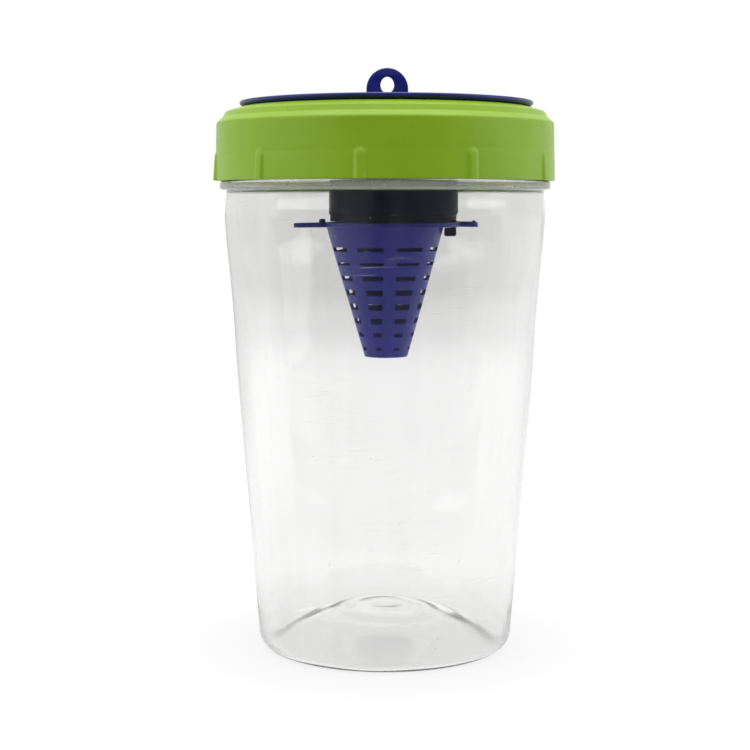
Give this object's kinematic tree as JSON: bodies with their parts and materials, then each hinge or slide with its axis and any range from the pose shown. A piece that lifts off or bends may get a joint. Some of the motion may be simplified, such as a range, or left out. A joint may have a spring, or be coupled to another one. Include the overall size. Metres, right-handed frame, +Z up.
{
  "type": "pheromone insect trap",
  "caption": "Clear tapered jar trap with a ribbed screw cap, lift-up cover with hanging eye, dark entry tube and slotted one-way cone for orchard insects.",
  "frame": {"origin": "centre of the ring that the jar stands on, at the underside of the jar", "axes": "+Z up along the jar's axis; the front is -Y, and the latch hook is towards +X"},
  "size_m": [0.1108, 0.1114, 0.1898],
  "materials": {
    "clear_jar": "clear, glossy",
    "green_cap": "satin moulded",
    "liner_foam": "matt foam",
    "navy_tube": "satin moulded",
    "blue_cone": "satin moulded",
    "blue_cover": "satin moulded",
    "septum_rubber": "matt"
  },
  "bodies": {
    "jar": {"jar": "clear_jar"},
    "tube_insert": {"entry_tube": "navy_tube", "tube_retaining_ring": "navy_tube", "cap_liner": "liner_foam"},
    "cap": {"screw_cap": "green_cap"},
    "cover": {"top_cover": "blue_cover"},
    "cone": {"exit_cone": "blue_cone"},
    "lure": {"lure_cage": "blue_cone", "lure_septum": "septum_rubber"}
  },
  "joints": [
    {"name": "cap_rise", "type": "slide", "parent": "jar", "child": "tube_insert", "axis": [0, 0, 1], "range_m": [0, 0.00626]},
    {"name": "cap_turn", "type": "hinge", "parent": "tube_insert", "child": "cap", "pos_m": [0, 0, 0.1622], "axis": [0, 0, 1], "range_deg": [0, 450]},
    {"name": "cover_lift", "type": "slide", "parent": "tube_insert", "child": "cover", "axis": [0, 0, 1], "range_m": [0, 0.0115]},
    {"name": "cone_twist", "type": "hinge", "parent": "tube_insert", "child": "cone", "pos_m": [0.0028, 0, 0.1391], "axis": [0, 0, 1], "range_deg": [0, 18]},
    {"name": "lure_twist", "type": "hinge", "parent": "cover", "child": "lure", "pos_m": [0.0028, 0, 0.1722], "axis": [0, 0, 1], "range_deg": [0, 40]}
  ],
  "couplings": [
    {"joint": "cap_rise", "follows": "cap_turn", "m_per_rad": 0.00079577}
  ]
}
